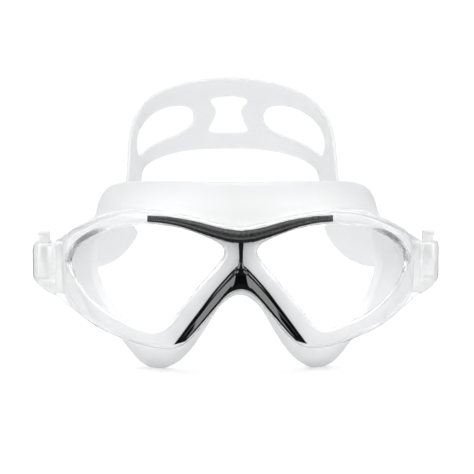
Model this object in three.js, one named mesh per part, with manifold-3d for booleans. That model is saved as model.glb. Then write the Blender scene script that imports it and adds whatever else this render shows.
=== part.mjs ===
// Swim mask: clear wrap-round frame with two kite-shaped windows, silicone face skirt, black brow
// and nose trims, swivelling buckles with push tabs, and a split silicone head strap.
// Millimetres. X to the viewer's right, Y from the lenses towards the head, Z up. The origin is in
// the middle of the face seal: level with the seal's edge on the nose bridge, at half the height of
// the windows. The pieces are drawn with y = 0 on the front of the bridge and then moved there.
import * as THREE from "three";
import { mergeVertices } from "three/addons/utils/BufferGeometryUtils.js";
import Module from "manifold-3d";

const wasm = await Module();
wasm.setup();

// ---- driving dimensions ----
const SEAL_DEPTH = 14; // from the front of the bridge back to the seal on the nose bridge
const GAP = 0.3; // clearance between pieces that touch
const MERGE = 0.01; // edges and steps below this are merged away after the cuts
const WRAP = 0.0036; // the front face stands back by WRAP * x * x
const SLAB_STEP = 6; // spacing of the stations that follow the wrap
const HALF_WIDTH = 102; // more than half of the whole mask's width and height
const HALF_HEIGHT = 70;
const THROUGH = 30; // more than the depth of anything that a cutter passes through
const LENS_THICK = 2.2;
const LENS_SEAT = 1.8; // thickness of the frame's lip in front of a lens
const LENS_LAP = 3; // how far a lens runs under the lip
const FRAME_WALL = 1.8; // rim wall of the frame
const FRAME_DEPTH = 9.2;
const BEAD_THICK = 2; // the skirt's flat bead, pressed between frame and retainer
const RETAINER_THICK = 1.8;
const RETAINER_STEP = 0.8; // how far the windows of retainer and skirt stand back from the frame's
const WEB_STEP = 0.4;
const BROW_PROUD = 1; // how far the trims stand in front of the frame
const NOSE_PROUD = 1.4;
const SKIRT_WALL = 1.5;
const BEAD_LAP = 2.6; // how far the bead reaches in from the skirt's wall
const SEAL_LIP = 6.5; // width of the lip that lies on the face
// The skirt's edge, from its outer wall round to its inner one: out from the seal edge, and back.
const SEAL_SECTION = [[-0.2, -2.5], [0, 0], [-SEAL_LIP, 1.2], [-SEAL_LIP, 0.2], [-2.2, -1.6]];
const WALL_EXIT = 0.4; // the skirt starts to flare this far behind the frame
// Where the flaring wall bends: depth behind the front, depth ahead of the seal, share of the way.
const FLARE = { behind: 12, ahead: 6, share: 0.45 };
const TRIM_POCKET = 0.9; // depth of the pockets that the black trims sit in

const HINGE = { y: 40, z: 2 }; // axis of both buckles, along X
const PIN_RADIUS = 2.2;
const PIN = { from: 82.2, to: 90, headRadius: 4, head: 1.1, collarRadius: 3.2, collar: 1.3 };
const LUG = { inner: 83, outer: 87, radius: 8.5, root: 20, neck: 32, low: -11.5, high: 14.5 };
const GUSSET = [[77, -19.6, 20], [82, -16.2, 17.4], [LUG.outer, -12.2, 14.5]]; // x, low and high z
const GUSSET_FRONT = 2.4; // how far its front stands behind the frame's
const BUCKLE = { inner: 87.3, cheek: 1.9, shell: 1.5, low: -5.6, high: 11.2, rear: 58 };
const ROOM = { x: [80, 110], y: [20, 70], z: [-20, 20] }; // more than the right buckle fills
// The buckle's outlines from above [x, y], from the side [y, z] and from the front [x, z].
const HOUSING_PLAN = [
  [BUCKLE.inner, 29.5], [90, 31], [94, 35.5], [97.4, 41], [99.5, 47], [100.2, 53],
  [100.2, BUCKLE.rear], [BUCKLE.inner, BUCKLE.rear],
];
const HOUSING_SIDE = [
  [29.4, -10], [31, -12.7], [35, -12.2], [46, -8.2], [51, -7.3], [58.2, -7.3], [58.2, 12.7],
  [31, 12.7], [29.4, 10.5],
];
const HOUSING_FRONT = [
  [80, -14], [88, -12.2], [92, -10.4], [96.5, -7.8], [99.2, -5.4], [100.4, -2.6], [100.4, 7.5],
  [98.2, 13.2], [80, 13.2],
];
// The plan again without its wall: x, y, and how far each of them moves for 1 mm of wall.
const HOUSING_INSIDE = [
  [80, 29.5, 0, 1.35], [90, 31, -0.4, 0.9], [94, 35.5, -0.8, 0.65], [97.4, 41, -0.9, 0.4],
  [99.5, 47, -1, 0.15], [100.2, 53, -1, 0], [100.2, 70, -1, 0], [80, 70, 0, 0],
];
const POST = { x: 94.6, y: 50, radius: 1.6, low: -6.4, high: 12 };
const BUTTON = { left: 90.9, stem: 96.2, right: 96.8, front: 42.9, depth: 2.8, travel: 2.5 };
const BUTTON_PAD = { left: 91.5, rear: 49.5, roof: 12.7, top: 17.8 };
const BUTTON_STEM = { low: 10.2, high: 16, slotLow: 5 };
const BUTTON_LEG = { thick: 1.2, low: 3.6, high: 11 };

const BAND_THICK = 1.8;
const BAND_LOW = -4.9;
const BAND_HIGH = 10.5;
const TAIL_GAP = 2.6; // tail to band, centre to centre, once they lie together
const PAD_START = 8.3; // station of STRAP at which the split pad begins
const TAIL_END = 3.6; // station at which the free tail ends
const TAIL_MERGE = 1.4; // station from which the tail lies along the band
const SLIT = 0.03; // gap between band and pad, in stations

// Points and steps along the outlines and the lofted bands.
const STEPS = { window: 57, rim: 126, skirt: 84, lug: 12, band: 24, turn: 10, tail: 14, pad: 44, hole: 40 };
const SIDE_HOLE_STEPS = 28;
const SHARPEST = 0.35; // limits how far a sharp corner is pushed when its outline grows

// Windows, frame rim and skirt, as [x, z] on the right half from the top centre round to the nose.
const WINDOW = [
  [9.2, 13.8], [13, 16], [26, 20.8], [40, 22.9], [50, 22.5], [61, 20.5], [71, 15.7], [77, 10],
  [79, 4.5], [77.3, -1.5], [71, -11], [60, -19.5], [45.5, -25], [38.4, -25.8], [33.5, -23.2],
  [29.5, -17.8], [18, -3.3], [8.8, 7.5], [7.6, 11],
];

// One row for each station round the rim: frame rim x, z, then seal edge x, z and its depth y.
const RIM = [
  [0, 22.3, 0, 41.5, 20], [11, 24, 15, 41.8, 21], [21, 26.6, 30, 42, 25],
  [34, 28.9, 44, 42, 29.5], [45, 30, 55, 41.5, 34], [55, 29.4, 62, 39, 38],
  [64, 26.9, 66.5, 33.5, 41], [73, 22.9, 69, 25, 43], [80.5, 18.6, 72, 15, 45.5],
  [84, 12, 74, 6, 47.5], [84.4, 0, 74, -2, 48], [82.6, -12, 71.5, -11, 47],
  [76, -20, 66.5, -20.5, 44.5], [67, -26, 60, -29.5, 42], [56, -30.5, 53, -39, 40],
  [46, -33.4, 46.5, -45.5, 38.5], [37, -34.8, 38.5, -48, 36.5], [30, -34.2, 30.5, -45.3, 33],
  [24, -31, 23, -38, 28], [14, -19, 15.5, -26.5, 22], [7, -10.9, 8.5, -15.3, 16.5],
  [0, -7.4, 0, -10.3, SEAL_DEPTH],
];

const BROW_TOP = [[0, 20.3], [8, 21.4], [15.5, 23.3], [21, 24.7], [31, 26.4], [38, 27], [43, 27.1]];
const BROW_LOW = [[43, 24.2], [36, 23.7], [27, 21.9], [19, 19.2], [11, 16.6], [5, 15], [0, 14.6]];
const NOSE_UPPER = [
  [1.1, 14.2], [1, 9], [1.2, 5], [3.2, 2.8], [7, -1.2], [12.2, -7.2], [24.5, -23.6], [31, -32.6],
];
const NOSE_LOWER = [[25.6, -31], [19.4, -24.2], [13.2, -16.8], [7.4, -10.2], [4, -7.6], [0, -6.6]];

// Strap stations on the right, from the buckle to the middle of the back: lower and upper edge.
const STRAP = [
  [[97.4, 50, -4.9], [97.4, 50, 10.5]], [[97, 58, -5.3], [97, 57, 10.6]],
  [[92, 68, -5.4], [92, 66, 11.3]], [[83, 78, -5], [83.3, 75, 13]],
  [[74, 88, -3.8], [75, 82.5, 15.6]], [[66, 95.5, -2.6], [67.5, 88.5, 19.5]],
  [[58, 103.5, 2], [60, 95, 27.5]], [[51.3, 111, 11], [56, 100, 37.5]],
  [[48, 121, 26], [54.5, 106, 52]], [[49.3, 138, 41], [53.8, 112.5, 63.5]],
  [[46.3, 157, 48.3], [51, 125.5, 75]], [[35.5, 171, 53.6], [41.5, 143, 86.5]],
  [[19, 179.5, 56.7], [22.5, 153.3, 94]], [[0, 182, 57.4], [0, 156, 96.5]],
];

// The pad's middle hole, as [distance from the middle, height between the edges from -1 to 1].
const MIDDLE_HOLE = [[10, 0.42], [7.2, 0.09], [9, -0.2], [11.6, -0.48]];
// Each side hole is a rounded oblong along the pad, from one distance to the other.
const SIDE_HOLE = { from: 20, to: 76, height: 0.5, squareness: 2.6 };

// ---- solids ----
const facing = (x) => WRAP * x * x;

function solidOf(geometry) {
  const bare = new THREE.BufferGeometry();
  bare.setAttribute("position", geometry.getAttribute("position"));
  if (geometry.index) bare.setIndex(geometry.index);
  const merged = mergeVertices(bare, 1e-4);
  const data = { numProp: 3, vertProperties: merged.attributes.position.array };
  data.triVerts = new Uint32Array(merged.index.array);
  return new wasm.Manifold(new wasm.Mesh(data));
}

function geometryOf(solid) {
  const mesh = solid.simplify(MERGE).getMesh();
  const geometry = new THREE.BufferGeometry();
  geometry.setAttribute("position", new THREE.BufferAttribute(mesh.vertProperties, 3));
  geometry.setIndex(new THREE.BufferAttribute(mesh.triVerts, 1));
  geometry.computeVertexNormals();
  return geometry;
}

// A closed solid through equal closed sections; a ring joins its last section to its first.
function loft(sections, ring = false) {
  const count = sections[0].length;
  const points = sections.flat();
  const triangles = [];
  const last = ring ? sections.length : sections.length - 1;
  for (let s = 0; s < last; s++) {
    const next = (s + 1) % sections.length;
    for (let i = 0; i < count; i++) {
      const j = (i + 1) % count;
      const [a, b, c, d] = [s * count + i, s * count + j, next * count + j, next * count + i];
      triangles.push(a, b, c, a, c, d);
    }
  }
  if (!ring) {
    const end = (sections.length - 1) * count;
    for (let i = 1; i < count - 1; i++) {
      triangles.push(0, i + 1, i, end, end + i, end + i + 1);
    }
  }
  return closed(points, triangles);
}

// A solid between two equal outlines, its caps filled as the flat outline is.
function capped(flat, near, far) {
  if (THREE.ShapeUtils.isClockWise(flat)) {
    return capped([...flat].reverse(), [...near].reverse(), [...far].reverse());
  }
  const count = flat.length;
  const triangles = [];
  for (const [a, b, c] of THREE.ShapeUtils.triangulateShape(flat, [])) {
    triangles.push(a, b, c, count + a, count + c, count + b);
  }
  for (let i = 0; i < count; i++) {
    const j = (i + 1) % count;
    triangles.push(j, i, count + i, j, count + i, count + j);
  }
  return closed([...near, ...far], triangles);
}

function closed(points, triangles) {
  let volume = 0;
  const cross = new THREE.Vector3();
  for (let t = 0; t < triangles.length; t += 3) {
    const [a, b, c] = [0, 1, 2].map((k) => points[triangles[t + k]]);
    volume += cross.crossVectors(b, c).dot(a);
  }
  if (volume < 0) triangles.reverse();
  const geometry = new THREE.BufferGeometry().setFromPoints(points);
  geometry.setIndex(triangles);
  return solidOf(geometry);
}

// Extrudes an outline of [x, z] points along Y, from one y to the other.
function prismY(outline, from, to) {
  const shape = new THREE.Shape(outline.map(([x, z]) => new THREE.Vector2(x, z)));
  const options = { depth: to - from, bevelEnabled: false };
  return solidOf(new THREE.ExtrudeGeometry(shape, options).rotateX(Math.PI / 2).translate(0, to, 0));
}

// Extrudes an outline of [x, y] points along Z.
function prismZ(outline, from, to) {
  const shape = new THREE.Shape(outline.map(([x, y]) => new THREE.Vector2(x, y)));
  const options = { depth: to - from, bevelEnabled: false };
  return solidOf(new THREE.ExtrudeGeometry(shape, options).translate(0, 0, from));
}

// Extrudes an outline of [y, z] points along X.
function prismX(outline, from, to) {
  const shape = new THREE.Shape(outline.map(([y, z]) => new THREE.Vector2(y, z)));
  const options = { depth: to - from, bevelEnabled: false };
  const turned = new THREE.ExtrudeGeometry(shape, options).rotateX(Math.PI / 2).rotateZ(Math.PI / 2);
  return solidOf(turned.translate(from, 0, 0));
}

function box(x, y, z) {
  const geometry = new THREE.BoxGeometry(x[1] - x[0], y[1] - y[0], z[1] - z[0]);
  return solidOf(geometry.translate((x[0] + x[1]) / 2, (y[0] + y[1]) / 2, (z[0] + z[1]) / 2));
}

function rodX(radius, from, to, y, z, sides = 24) {
  const geometry = new THREE.CylinderGeometry(radius, radius, to - from, sides).rotateZ(Math.PI / 2);
  return solidOf(geometry.translate((from + to) / 2, y, z));
}

function rodZ(radius, from, to, x, y, sides = 20) {
  const geometry = new THREE.CylinderGeometry(radius, radius, to - from, sides).rotateX(Math.PI / 2);
  return solidOf(geometry.translate(x, y, (from + to) / 2));
}

// ---- outlines ----
// A smooth closed outline through the points.
function smooth(points, samples) {
  const curve = new THREE.CatmullRomCurve3(
    points.map(([x, z]) => new THREE.Vector3(x, 0, z)), true, "centripetal",
  );
  return Array.from({ length: samples }, (_, i) => curve.getPoint(i / samples)).map((p) => [p.x, p.z]);
}

// Both halves of an outline whose first and last points lie on the centreline.
function whole(half) {
  return [...half, ...half.slice(1, -1).reverse().map(([x, z]) => [-x, z])];
}

const mirror = (outline) => outline.map(([x, z]) => [-x, z]).reverse();

// Normals of a closed outline, away from its inside, long enough at corners to keep both edges apart.
function outwards(outline) {
  const n = outline.length;
  const area = outline.reduce((sum, [x, z], i) => {
    const [u, w] = outline[(i + 1) % n];
    return sum + x * w - u * z;
  }, 0);
  const edges = outline.map(([x, z], i) => {
    const [u, w] = outline[(i + 1) % n];
    const length = Math.hypot(u - x, w - z) * Math.sign(area);
    return [(w - z) / length, (x - u) / length];
  });
  return edges.map(([a, b], i) => {
    const [c, d] = edges[(i + n - 1) % n];
    const corner = Math.max(1 + a * c + b * d, SHARPEST);
    return [(a + c) / corner, (b + d) / corner];
  });
}

function grow(outline, by) {
  const normals = outwards(outline);
  return outline.map(([x, z], i) => [x + normals[i][0] * by, z + normals[i][1] * by]);
}

const windowLine = smooth(WINDOW, STEPS.window);
const rimLine = smooth(whole(RIM), STEPS.rim);

// ---- curved plates: everything in the front follows the same wrap ----
function slab(near, far) {
  const steps = Math.ceil(HALF_WIDTH / SLAB_STEP);
  const stations = Array.from({ length: 2 * steps + 1 }, (_, i) => (i - steps) * SLAB_STEP);
  const front = stations.map((x) => [x, facing(x) + near]);
  const back = stations.map((x) => [x, facing(x) + far]).reverse();
  return prismZ([...front, ...back], -HALF_HEIGHT, HALF_HEIGHT);
}

const plate = (outline, near, far) => prismY(outline, -THROUGH, 2 * THROUGH).intersect(slab(near, far));

const bothWindows = (by, near, far) => {
  const line = grow(windowLine, by);
  return plate(line, near, far).add(plate(mirror(line), near, far));
};

const lensBack = LENS_SEAT + GAP + LENS_THICK;
const beadFront = lensBack + GAP;
const beadBack = beadFront + BEAD_THICK;
const retainerFront = beadBack + GAP;

// The brow trim's outline: top edge out to the square end, bottom edge back, then the other half.
function browOutline() {
  const right = [...BROW_TOP, ...BROW_LOW];
  return [...right, ...mirror(right).slice(1, -1)];
}

function noseOutline() {
  const right = [...NOSE_UPPER, ...NOSE_LOWER];
  return [...right, ...mirror(right).slice(1)];
}

function frontFrame() {
  const cavity = plate(grow(rimLine, -FRAME_WALL), lensBack, THROUGH);
  const pockets = bothWindows(LENS_LAP + GAP, LENS_SEAT, beadBack);
  const trims = plate(grow(browOutline(), GAP), -THROUGH, TRIM_POCKET)
    .add(plate(grow(noseOutline(), GAP), -THROUGH, TRIM_POCKET));
  let frame = plate(rimLine, 0, FRAME_DEPTH).subtract(cavity).subtract(pockets);
  frame = frame.subtract(bothWindows(0, -THROUGH, THROUGH)).subtract(trims);
  for (const side of [1, -1]) frame = frame.add(lug(side));
  return frame;
}

// The ear: a flat lug behind each end of the frame, round at the pin, and a gusset out to it.
function lug(side) {
  const { inner, outer, radius, root, neck, low, high } = LUG;
  const arc = Array.from({ length: STEPS.lug + 1 }, (_, i) => {
    const turn = Math.PI / 2 - (i * Math.PI) / STEPS.lug;
    return [HINGE.y + radius * Math.cos(turn), HINGE.z + radius * Math.sin(turn)];
  });
  const outline = [[root, high], [neck, high], ...arc, [neck, low], [root, low]];
  const inside = plate(grow(rimLine, -FRAME_WALL), -THROUGH, THROUGH);
  const ear = prismX(outline, inner, outer).intersect(slab(0, 2 * THROUGH));
  const bore = rodX(PIN_RADIUS + GAP, ...ROOM.x, HINGE.y, HINGE.z);
  const bored = ear.add(gusset().subtract(inside)).subtract(bore);
  return side > 0 ? bored : bored.mirror([1, 0, 0]);
}

// A wedge that narrows from the frame's end wall out to the lug.
function gusset() {
  const sections = GUSSET.map(([x, low, high]) => {
    const [front, back] = [facing(x) + GUSSET_FRONT, facing(x) + FRAME_DEPTH];
    const corners = [[front, low], [front, high], [back, high], [back, low]];
    return corners.map(([y, z]) => new THREE.Vector3(x, y, z));
  });
  return loft(sections);
}

function lens(side) {
  const line = grow(windowLine, LENS_LAP);
  return plate(side > 0 ? line : mirror(line), LENS_SEAT + GAP, lensBack);
}

function retainerFrame() {
  const inset = FRAME_WALL + GAP + SKIRT_WALL + GAP;
  const ring = plate(grow(rimLine, -inset), retainerFront, retainerFront + RETAINER_THICK);
  return ring.subtract(bothWindows(RETAINER_STEP, -THROUGH, THROUGH));
}

const browTrim = () => plate(browOutline(), -BROW_PROUD, TRIM_POCKET - GAP);
const noseTrim = () => plate(noseOutline(), -NOSE_PROUD, TRIM_POCKET - GAP);

// ---- skirt ----
function skirt() {
  const rim = smooth(whole(RIM), STEPS.skirt);
  const seal = smooth(whole(RIM.map((row) => [row[2], row[3]])), STEPS.skirt);
  const depthRows = [...RIM, ...RIM.slice(1, -1).reverse()].map((row) => [row[4], 0]);
  const depths = smooth(depthRows, STEPS.skirt).map(([y]) => y);
  const rimOut = outwards(rim);
  const sealOut = outwards(seal);
  const outer = -(FRAME_WALL + GAP);
  const inner = outer - SKIRT_WALL;
  const sections = rim.map(([x, z], i) => {
    const at = ([px, pz], [nx, nz], by, y) => new THREE.Vector3(px + nx * by, y, pz + nz * by);
    const onRim = (by, behind) => {
      const p = at([x, z], rimOut[i], by, 0);
      return p.setY(facing(p.x) + behind);
    };
    const onSeal = (by, back) => at(seal[i], sealOut[i], by, depths[i] + back);
    const bend = (by) => onRim(by, FLARE.behind).lerp(onSeal(by - outer, -FLARE.ahead), FLARE.share);
    return [
      onRim(outer, beadFront), onRim(outer, FRAME_DEPTH + WALL_EXIT), bend(outer),
      ...SEAL_SECTION.map(([by, back]) => onSeal(by, back)),
      bend(inner), onRim(inner, FRAME_DEPTH + WALL_EXIT), onRim(inner, beadBack),
      onRim(inner - BEAD_LAP, beadBack), onRim(inner - BEAD_LAP, beadFront),
    ];
  });
  const web = plate(grow(rimLine, inner - BEAD_LAP / 2), beadFront + GAP, beadBack - GAP);
  return loft(sections, true).add(web.subtract(bothWindows(WEB_STEP, -THROUGH, THROUGH)));
}

// ---- buckles, all for the right side ----
function housing() {
  return prismZ(HOUSING_PLAN, ...ROOM.z)
    .intersect(prismX(HOUSING_SIDE, ...ROOM.x))
    .intersect(prismY(HOUSING_FRONT, ...ROOM.y));
}

// The space inside the buckle's curved outer wall, a cover that snaps over the base.
function insideCover(by) {
  const plan = HOUSING_INSIDE.map(([x, y, moveX, moveY]) => [x + moveX * by, y + moveY * by]);
  return prismZ(plan, ...ROOM.z);
}

const buckleCover = () => housing().subtract(insideCover(BUCKLE.shell));

function buckleBase() {
  const { inner, cheek, shell, low, high } = BUCKLE;
  const { left, front, depth } = BUTTON;
  const room = box([inner + cheek, ROOM.x[1]], ROOM.y, [low, high]);
  const across = [left - GAP, ROOM.x[1]]; // the cover's wall closes it
  const slot = box(across, [front - GAP, front + depth + GAP], [BUTTON_STEM.slotLow, ROOM.z[1]]);
  return housing()
    .intersect(insideCover(shell + GAP))
    .subtract(room)
    .subtract(slot)
    .subtract(rodX(PIN_RADIUS + GAP, ...ROOM.x, HINGE.y, HINGE.z))
    .subtract(rodZ(POST.radius + GAP, POST.low - GAP, POST.high + GAP, POST.x, POST.y));
}

// A shaft with a head inside the lug and a collar inside the buckle's cheek.
function pivotPin() {
  const { y, z } = HINGE;
  const cheekOut = BUCKLE.inner + BUCKLE.cheek;
  return rodX(PIN_RADIUS, PIN.from, PIN.to, y, z)
    .add(rodX(PIN.headRadius, LUG.inner - PIN.head, LUG.inner - GAP, y, z))
    .add(rodX(PIN.collarRadius, cheekOut + GAP, cheekOut + PIN.collar, y, z));
}

const strapPost = () => rodZ(POST.radius, POST.low, POST.high, POST.x, POST.y);

// A finger pad over the roof, a stem through its slot, and two springy legs inside.
function releaseButton() {
  const { left, stem: stemEnd, right, front, depth, travel } = BUTTON;
  const { thick, low, high } = BUTTON_LEG;
  const padLow = BUTTON_PAD.roof + travel + GAP;
  const pad = box([BUTTON_PAD.left, right], [front, BUTTON_PAD.rear], [padLow, BUTTON_PAD.top]);
  const stem = box([left, stemEnd], [front, front + depth], [BUTTON_STEM.low, BUTTON_STEM.high]);
  const legs = [left, stemEnd - thick].map((x) => box([x, x + thick], [front, front + depth], [low, high]));
  return pad.add(stem).add(legs[0]).add(legs[1]);
}

// ---- strap ----
const lowerEdge = new THREE.CatmullRomCurve3(strapSide(0), false, "centripetal");
const upperEdge = new THREE.CatmullRomCurve3(strapSide(1), false, "centripetal");

// One edge of the whole strap, from the right buckle round the back to the left one.
function strapSide(edge) {
  const right = STRAP.map((station) => new THREE.Vector3(...station[edge]));
  const left = right.slice(0, -1).reverse().map((p) => new THREE.Vector3(-p.x, p.y, p.z));
  return [...right, ...left];
}

// Place, height direction and face normal of the strap at a station number.
function strapAt(station) {
  const t = station / (2 * (STRAP.length - 1));
  const low = lowerEdge.getPoint(t);
  const high = upperEdge.getPoint(t);
  const along = lowerEdge.getTangent(t).add(upperEdge.getTangent(t));
  const normal = new THREE.Vector3().crossVectors(along, high.clone().sub(low)).normalize();
  return { low, high, normal };
}

// Distances along the centreline from the middle of the pad, a step of PAD_STEP stations apart.
const PAD_STEP = 0.1;
const PAD_PLACES = 61;
const padCentres = Array.from({ length: PAD_PLACES }, (_, i) => {
  const { low, high } = strapAt(STRAP.length - 1 - i * PAD_STEP);
  return low.add(high).multiplyScalar(0.5);
});
const padLengths = padCentres.reduce(
  (sums, centre, i) => [...sums, i ? sums[i - 1] + centre.distanceTo(padCentres[i - 1]) : 0], [],
);

function bandSection(low, high, normal, thick = BAND_THICK) {
  const off = normal.clone().multiplyScalar(thick / 2);
  return [low.clone().add(off), high.clone().add(off), high.clone().sub(off), low.clone().sub(off)];
}

// Right band: from the pad to the buckle, round the post, and back along the inside as the tail.
function strapBand() {
  const sections = [];
  const run = Array.from({ length: STEPS.band + 1 }, (_, i) => (PAD_START - SLIT) * (1 - i / STEPS.band));
  for (const station of run) {
    const { low, high, normal } = strapAt(station);
    sections.push(bandSection(low, high, normal));
  }
  const radius = POST.radius + GAP + BAND_THICK / 2;
  for (let i = 1; i < STEPS.turn; i++) {
    const turn = (-i * Math.PI) / STEPS.turn;
    const out = new THREE.Vector3(Math.cos(turn), Math.sin(turn), 0);
    const place = out.clone().multiplyScalar(radius).add(new THREE.Vector3(POST.x, POST.y, 0));
    const low = place.clone().setZ(BAND_LOW);
    sections.push(bandSection(low, place.clone().setZ(BAND_HIGH), out));
  }
  for (let i = 0; i <= STEPS.tail; i++) {
    const station = (TAIL_END * i) / STEPS.tail;
    const { low, high, normal } = strapAt(station);
    const apart = TAIL_GAP + (2 * radius - TAIL_GAP) * Math.max(0, 1 - station / TAIL_MERGE) ** 2;
    const step = normal.clone().multiplyScalar(-apart);
    sections.push(bandSection(low.add(step), high.add(step), normal.negate()));
  }
  return loft(sections);
}

// The split pad: a wide band with an hourglass hole in the middle and a long hole either side.
function strapBack() {
  const last = 2 * (STRAP.length - 1);
  const sections = Array.from({ length: STEPS.pad + 1 }, (_, i) => {
    const station = PAD_START + ((last - 2 * PAD_START) * i) / STEPS.pad;
    const { low, high, normal } = strapAt(station);
    return bandSection(low, high, normal);
  });
  const middle = smooth([...MIDDLE_HOLE, ...mirror(MIDDLE_HOLE)], STEPS.hole);
  return loft(sections).subtract(middleHole(middle)).subtract(sideHole(1)).subtract(sideHole(-1));
}

const CUT = 5; // how far the hole cutters stand out of the pad on both faces
const PAD_HALF = 23; // half of the pad's height in its middle

// A place on the pad: distance along its centreline from the middle, height from -1 to 1.
function onPad(distance, height, by) {
  const { low, high, normal } = strapAt(stationAt(distance));
  return low.lerp(high, (height + 1) / 2).add(normal.multiplyScalar(by));
}

function middleHole(outline) {
  const layers = [-CUT, CUT].map((by) => outline.map(([along, height]) => onPad(along, height, by)));
  const flat = outline.map(([along, height]) => new THREE.Vector2(along, height * PAD_HALF));
  return capped(flat, layers[0], layers[1]);
}

function sideHole(side) {
  const { from, to, height, squareness } = SIDE_HOLE;
  const sections = Array.from({ length: SIDE_HOLE_STEPS + 1 }, (_, i) => {
    const along = -Math.cos((Math.PI * i) / SIDE_HOLE_STEPS);
    const half = height * Math.max(1 - Math.abs(along) ** squareness, 1e-4) ** (1 / squareness);
    const distance = side * ((from + to) / 2 + (along * (to - from)) / 2);
    const corners = [[-half, CUT], [half, CUT], [half, -CUT], [-half, -CUT]];
    return corners.map(([h, by]) => onPad(distance, h, by));
  });
  return loft(sections);
}

// Station of a place on the strap, from its distance along the centreline to the middle.
function stationAt(distance) {
  const far = Math.abs(distance);
  const i = Math.max(1, padLengths.findIndex((length) => length >= far));
  const share = (far - padLengths[i - 1]) / (padLengths[i] - padLengths[i - 1]);
  return STRAP.length - 1 - Math.sign(distance) * PAD_STEP * (i - 1 + share);
}

// ---- assembly ----
const clear = { color: 0xe9eef0, roughness: 0.06, metalness: 0, transparent: true, opacity: 0.4 };
const glassy = { color: 0xf4f8fa, roughness: 0.03, metalness: 0, transparent: true, opacity: 0.2 };
const silicone = { color: 0xe6e8e9, roughness: 0.45, metalness: 0, transparent: true, opacity: 0.7 };
const black = { color: 0x0b0b0d, roughness: 0.2, metalness: 0 };
const satin = { color: 0x1a1b1e, roughness: 0.5, metalness: 0 };
const milky = { color: 0xf2f3f2, roughness: 0.4, metalness: 0, transparent: true, opacity: 0.85 };

function piece(name, solid, look) {
  const mesh = new THREE.Mesh(geometryOf(solid), new THREE.MeshStandardMaterial(look));
  mesh.name = name;
  return mesh;
}

const mask = new THREE.Group();
mask.position.y = -SEAL_DEPTH;
mask.add(
  piece("front_frame", frontFrame(), clear),
  piece("retainer_frame", retainerFrame(), clear),
  piece("lens_left", lens(-1), glassy),
  piece("lens_right", lens(1), glassy),
  piece("brow_trim", browTrim(), satin),
  piece("nose_trim", noseTrim(), black),
  piece("skirt", skirt(), silicone),
);

const strap = new THREE.Group();
strap.add(piece("strap_back", strapBack(), silicone));
const rightSide = [
  ["buckle_base", buckleBase(), clear],
  ["buckle_cover", buckleCover(), clear],
  ["release_button", releaseButton(), milky],
  ["pivot_pin", pivotPin(), clear],
  ["strap_post", strapPost(), clear],
  ["strap_band", strapBand(), silicone],
];
for (const [name, solid, look] of rightSide) {
  strap.add(piece(name + "_right", solid, look), piece(name + "_left", solid.mirror([1, 0, 0]), look));
}
mask.add(strap);

export default mask;
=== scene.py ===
"""Swim mask: the looks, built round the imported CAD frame.

Shapes are drawn in millimetres with y = 0 on the front of the bridge, as the design is, and
place() turns them into metres in the row frame.
"""

import math

import bmesh
import bpy
import numpy as np
from mathutils import Matrix, Vector
from mathutils.geometry import delaunay_2d_cdt


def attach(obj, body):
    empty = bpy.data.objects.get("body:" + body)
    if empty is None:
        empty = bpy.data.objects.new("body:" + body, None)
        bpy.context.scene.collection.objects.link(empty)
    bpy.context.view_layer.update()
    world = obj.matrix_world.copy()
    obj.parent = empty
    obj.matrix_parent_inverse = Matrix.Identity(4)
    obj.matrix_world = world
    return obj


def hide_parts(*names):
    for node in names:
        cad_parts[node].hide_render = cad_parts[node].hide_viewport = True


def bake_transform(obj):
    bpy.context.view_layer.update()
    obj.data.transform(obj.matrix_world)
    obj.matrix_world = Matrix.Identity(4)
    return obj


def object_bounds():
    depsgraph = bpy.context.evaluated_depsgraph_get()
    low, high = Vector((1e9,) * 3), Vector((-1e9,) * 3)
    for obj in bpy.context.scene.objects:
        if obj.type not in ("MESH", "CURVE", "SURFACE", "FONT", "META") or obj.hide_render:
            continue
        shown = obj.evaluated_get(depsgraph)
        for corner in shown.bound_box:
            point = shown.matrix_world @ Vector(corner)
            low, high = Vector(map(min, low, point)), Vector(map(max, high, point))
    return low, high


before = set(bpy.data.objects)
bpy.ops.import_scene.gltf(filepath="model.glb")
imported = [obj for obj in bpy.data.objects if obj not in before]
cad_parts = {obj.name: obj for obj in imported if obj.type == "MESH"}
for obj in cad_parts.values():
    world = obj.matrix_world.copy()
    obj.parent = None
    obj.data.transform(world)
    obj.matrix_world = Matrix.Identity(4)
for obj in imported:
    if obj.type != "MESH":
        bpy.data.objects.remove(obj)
CAD_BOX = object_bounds()

# ---- driving dimensions, as in the design ----
MM = 0.001
SEAL_DEPTH = 14
GAP = 0.3
WRAP = 0.0036
LENS_SEAT = 1.8
LENS_THICK = 2.2
LENS_BACK = LENS_SEAT + GAP + LENS_THICK
FRAME_WALL = 1.8
FRAME_DEPTH = 9.2
BEAD_FRONT = LENS_BACK + GAP
BEAD_BACK = BEAD_FRONT + 2
RETAINER_FRONT = BEAD_BACK + GAP
RETAINER_THICK = 1.8
SKIRT_WALL = 1.5
SEAL_LIP = 6.5
RIM_SAMPLES = 504
WINDOW_SAMPLES = 260

HINGE = (40, 2)  # y, z of both buckles' axis
PIN_RADIUS = 2.2
PIN_ENDS = (82.4, 89.8)
PIN_HEAD = (4, 1.1)  # radius, and how far its face stands off the lug
PIN_COLLAR = (3.2, 1.3)  # radius, and how far its face stands off the cheek
LUG_INNER, LUG_OUTER, LUG_RADIUS = 83, 87, 8.5
LUG_TOP, LUG_FOOT = [(26, 14.3), (32, 13.2)], [(32, -10.2), (26, -11.3)]  # y, z of its stem
GUSSET = [(77, -19.6, 20), (82, -16.2, 17.4), (LUG_OUTER, -12.2, 14.5)]  # x, low and high z
GUSSET_FRONT = 2.4
BUCKLE_INNER = 87.3
CHEEK = 1.9
COVER_WALL = 1.5
ROOM_LOW, ROOM_HIGH = -5.6, 11.2
BUCKLE_REAR = 58
POST_X, POST_Y, POST_RADIUS = 94.6, 50, 1.6
POST_LOW, POST_HIGH = -6.4, 12
BAND_THICK = 1.8
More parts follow.
